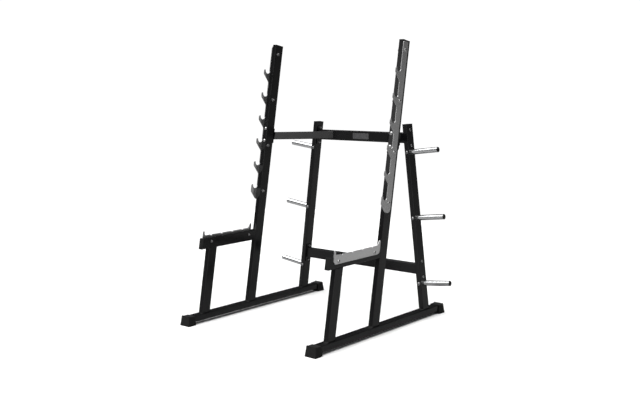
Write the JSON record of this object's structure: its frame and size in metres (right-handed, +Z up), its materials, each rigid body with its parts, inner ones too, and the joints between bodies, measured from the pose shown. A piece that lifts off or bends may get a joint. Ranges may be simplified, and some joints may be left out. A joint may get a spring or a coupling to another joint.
{
  "type": "squat rack",
  "caption": "Free-standing squat rack: leaning hooked uprights, low spotter arms with horned plates, crossbars behind, diagonal braces and chrome plate-storage pegs on the rear posts.",
  "frame": {"origin": "on the floor, in the middle of the rack's footprint", "axes": "+Z up; the front, where the bar is taken from the hooks, faces -Y; +X is the right side as the picture's camera sees the front"},
  "size_m": [1.4678, 1.3498, 1.8101],
  "materials": {
    "black_powder_coat": "semi-gloss black powder coat on steel tube",
    "grey_plate": "satin grey metallic coat on cut steel plate",
    "bright_zinc": "bright zinc plated fasteners",
    "chrome": "polished chrome plate",
    "black_rubber": "matt moulded black rubber",
    "black_plastic": "matt black plastic",
    "badge_grey": "bare satin grey plate"
  },
  "bodies": {
    "root": {"left_base_rail": "black_powder_coat", "right_base_rail": "black_powder_coat", "left_front_boot": "black_rubber", "right_front_boot": "black_rubber", "left_rear_boot": "black_rubber", "right_rear_boot": "black_rubber", "left_front_post": "black_powder_coat", "right_front_post": "black_powder_coat", "left_main_upright": "black_powder_coat", "right_main_upright": "black_powder_coat", "left_upright_cap": "black_plastic", "right_upright_cap": "black_plastic", "left_hook_plate": "grey_plate", "right_hook_plate": "grey_plate", "left_hook_bolt_1": "bright_zinc", "left_hook_bolt_2": "bright_zinc", "left_hook_bolt_3": "bright_zinc", "left_hook_bolt_4": "bright_zinc", "right_hook_bolt_1": "bright_zinc", "right_hook_bolt_2": "bright_zinc", "right_hook_bolt_3": "bright_zinc", "right_hook_bolt_4": "bright_zinc", "left_spotter_arm": "black_powder_coat", "right_spotter_arm": "black_powder_coat", "left_spotter_arm_cap": "black_plastic", "right_spotter_arm_cap": "black_plastic", "left_spotter_plate": "grey_plate", "right_spotter_plate": "grey_plate", "left_rear_post": "black_powder_coat", "right_rear_post": "black_powder_coat", "left_rear_post_cap": "black_plastic", "right_rear_post_cap": "black_plastic", "left_weight_peg_top": "chrome", "left_weight_peg_middle": "chrome", "left_weight_peg_bottom": "chrome", "right_weight_peg_top": "chrome", "right_weight_peg_middle": "chrome", "right_weight_peg_bottom": "chrome", "left_peg_cap_top": "black_plastic", "left_peg_cap_middle": "black_plastic", "left_peg_cap_bottom": "black_plastic", "right_peg_cap_top": "black_plastic", "right_peg_cap_middle": "black_plastic", "right_peg_cap_bottom": "black_plastic", "left_peg_bolt_top": "bright_zinc", "left_peg_bolt_middle": "bright_zinc", "left_peg_bolt_bottom": "bright_zinc", "right_peg_bolt_top": "bright_zinc", "right_peg_bolt_middle": "bright_zinc", "right_peg_bolt_bottom": "bright_zinc", "left_brace": "black_powder_coat", "right_brace": "black_powder_coat", "left_brace_bolt_lower": "bright_zinc", "left_brace_bolt_upper": "bright_zinc", "right_brace_bolt_lower": "bright_zinc", "right_brace_bolt_upper": "bright_zinc", "upper_crossbar": "black_powder_coat", "lower_crossbar": "black_powder_coat", "badge_plate": "badge_grey"}
  },
  "joints": []
}
